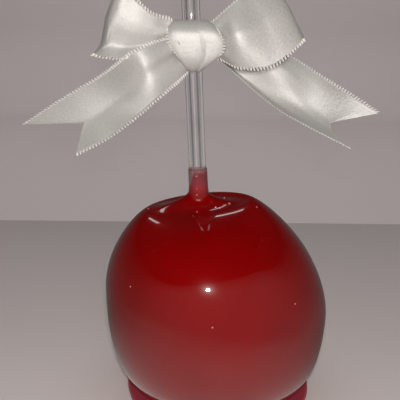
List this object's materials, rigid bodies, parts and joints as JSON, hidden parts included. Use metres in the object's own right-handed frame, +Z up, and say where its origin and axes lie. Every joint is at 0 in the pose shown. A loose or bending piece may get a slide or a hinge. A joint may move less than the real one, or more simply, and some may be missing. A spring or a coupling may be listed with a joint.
{
  "type": "toffee apple",
  "caption": "Glossy red hard-candy coated fruit standing on its pooled candy foot, on a clear round stick tied with an ivory satin ribbon bow.",
  "frame": {"origin": "middle of the candy foot's flat underside", "axes": "+Z up along the stick, the bow's front faces -Y, +X to the bow's right-hand loop as seen from the front"},
  "size_m": [0.1174, 0.0828, 0.1795],
  "materials": {
    "candy": "hard boiled-sugar glaze, deep red, mirror gloss",
    "acrylic": "clear extruded acrylic rod",
    "satin": "double-faced ivory satin with looped selvedges"
  },
  "bodies": {
    "root": {"candied_fruit": "candy", "clear_stick": "acrylic", "ribbon_bow": "satin"}
  },
  "joints": []
}
